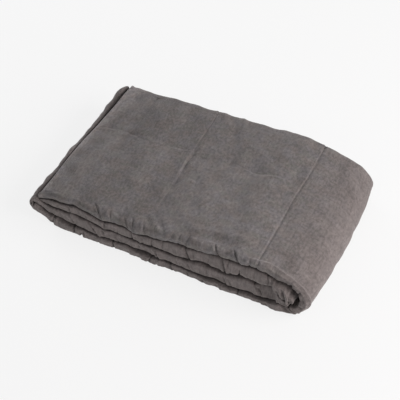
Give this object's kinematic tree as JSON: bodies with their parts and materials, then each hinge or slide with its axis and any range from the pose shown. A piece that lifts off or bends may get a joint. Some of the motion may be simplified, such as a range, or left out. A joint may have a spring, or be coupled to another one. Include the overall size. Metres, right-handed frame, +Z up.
{
  "type": "folded quilted linen bedspread",
  "caption": "Softly padded and quilted linen bedspread, folded into a flat oblong bundle that lies on a shelf, bed or table.",
  "frame": {"origin": "on the surface that the bundle lies on, under the middle of its bounding box", "axes": "+X along the bundle, from the end with the free hems to the end with the large outer turn, +Y from the front edge with the rolled folds to the back edge with the long hems, +Z up"},
  "size_m": [0.6226, 0.3596, 0.112],
  "materials": {
    "linen": "matt warm dark grey linen with a visible slubby plain weave, washed, with tone-on-tone quilting stitches"
  },
  "bodies": {
    "root": {"bedspread": "linen"}
  },
  "joints": []
}
